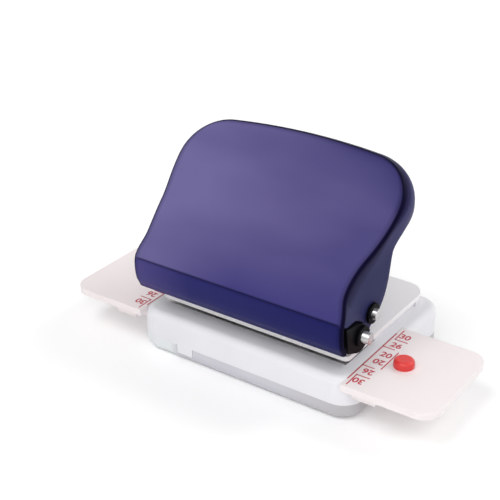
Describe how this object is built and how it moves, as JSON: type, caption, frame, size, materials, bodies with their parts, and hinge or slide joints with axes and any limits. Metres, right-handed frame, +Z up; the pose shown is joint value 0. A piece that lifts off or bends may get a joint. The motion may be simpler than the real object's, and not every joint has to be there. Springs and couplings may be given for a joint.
{
  "type": "loose-leaf hole punch",
  "caption": "Compact desk punch: a wide lever handle drives a row of spring-returned punches through a slotted bed, with sliding guide plates and a lift-off chip tray.",
  "frame": {"origin": "on the table, below the middle of the row of holes", "axes": "+X along the row of holes to the right, +Y to the rear, +Z up"},
  "size_m": [0.119, 0.0544, 0.0638],
  "materials": {
    "white_plastic": "smooth moulded white plastic",
    "plate_white": "white coated sheet steel with bright edges",
    "clear_tray": "milky see-through plastic",
    "frosted_plastic": "frosted see-through plastic",
    "blue_plastic": "satin see-through violet blue plastic",
    "red_plastic": "red moulded plastic",
    "black_metal": "black coated steel",
    "steel": "bright steel"
  },
  "bodies": {
    "tray": {"chip_tray": "clear_tray"},
    "punch_body": {"base_body": "white_plastic", "die_plate": "steel", "throat_spacer": "white_plastic", "upper_plate": "plate_white", "frame_screws": "steel", "pivot_bracket_left": "black_metal", "pivot_bracket_right": "black_metal", "bracket_rivets": "steel", "punch_springs": "steel"},
    "handle": {"lever_frame": "black_metal", "handle_cover": "blue_plastic", "cover_screws": "steel", "fulcrum_pin": "steel", "drive_pin": "steel", "fulcrum_clips": "black_metal", "drive_clips": "black_metal"},
    "punch_set": {"punch_1": "steel", "punch_2": "steel", "punch_3": "steel", "punch_4": "steel", "punch_5": "steel", "punch_6": "steel"},
    "guide_left": {"guide_plate_left": "frosted_plastic"},
    "guide_right": {"guide_plate_right": "frosted_plastic"},
    "peg": {"index_peg": "red_plastic"}
  },
  "joints": [
    {"name": "body_lift", "type": "slide", "parent": "tray", "child": "punch_body", "axis": [0, 0, 1], "range_m": [0, 0.02]},
    {"name": "handle_press", "type": "hinge", "parent": "punch_body", "child": "handle", "pos_m": [0, -0.0076, 0.0234], "axis": [-1, 0, 0], "range_deg": [0, 32], "stiffness_Nm_per_rad": 0.5, "springref_deg": -14.32},
    {"name": "punch_stroke", "type": "slide", "parent": "punch_body", "child": "punch_set", "axis": [0, 0, -1], "range_m": [0, 0.0044], "deforming": ["punch_springs"]},
    {"name": "guide_left_slide", "type": "slide", "parent": "punch_body", "child": "guide_left", "axis": [-1, 0, 0], "range_m": [0, 0.014]},
    {"name": "guide_right_slide", "type": "slide", "parent": "punch_body", "child": "guide_right", "axis": [1, 0, 0], "range_m": [0, 0.014]},
    {"name": "peg_lift", "type": "slide", "parent": "guide_right", "child": "peg", "axis": [0, 0, 1], "range_m": [0, 0.006]}
  ],
  "couplings": [
    {"joint": "punch_stroke", "follows": "handle_press", "m_per_rad": 0.00777}
  ]
}
